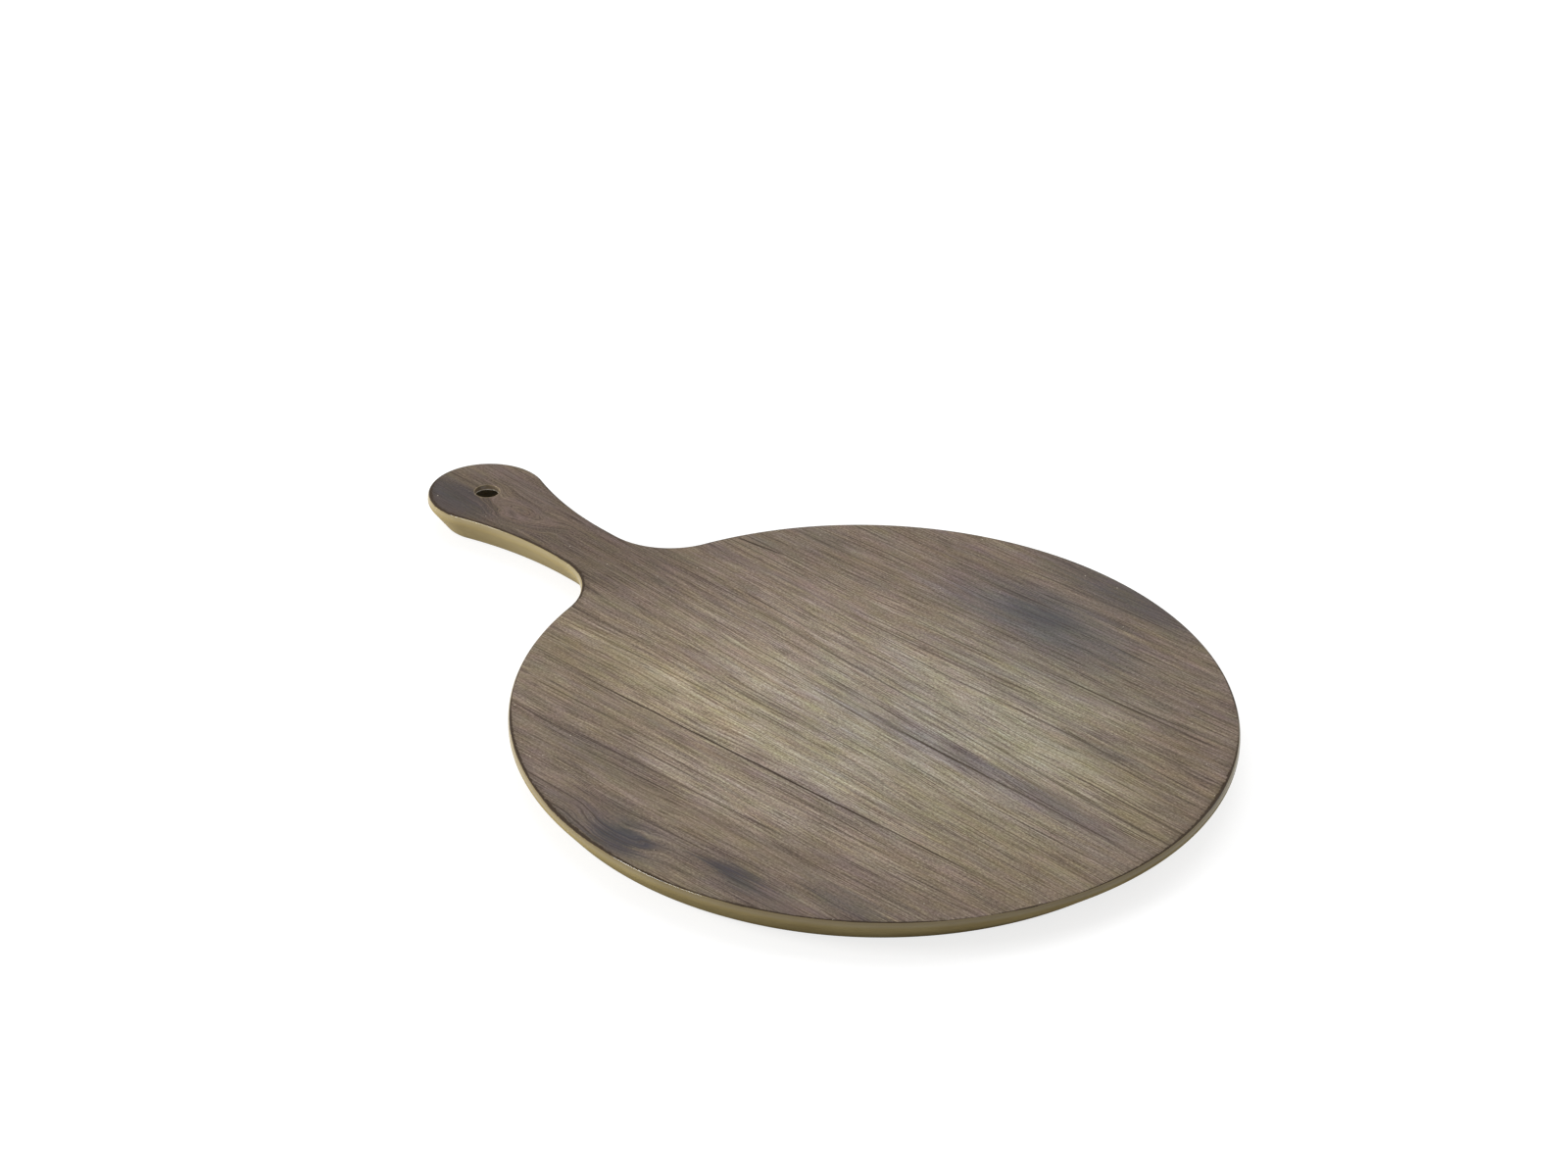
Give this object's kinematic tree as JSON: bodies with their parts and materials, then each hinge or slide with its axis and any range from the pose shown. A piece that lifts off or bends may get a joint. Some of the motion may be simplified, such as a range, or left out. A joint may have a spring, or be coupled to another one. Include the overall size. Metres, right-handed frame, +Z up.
{
  "type": "serving paddle",
  "caption": "Round serving board with a waisted handle and a hang hole, a hollow moulded body with a wood-effect printed top face.",
  "frame": {"origin": "middle of the footprint's bounding box, on the surface that the paddle stands on", "axes": "+X along the length, away from the handle; +Z up, out of the wood-effect face"},
  "size_m": [0.4304, 0.305, 0.016],
  "materials": {
    "tan_melamine": "gloss",
    "wood_print": "satin",
    "clear_glaze": "satin"
  },
  "bodies": {
    "root": {"moulded_body": "tan_melamine", "wood_print_sheet": "wood_print", "clear_glaze": "clear_glaze"}
  },
  "joints": []
}
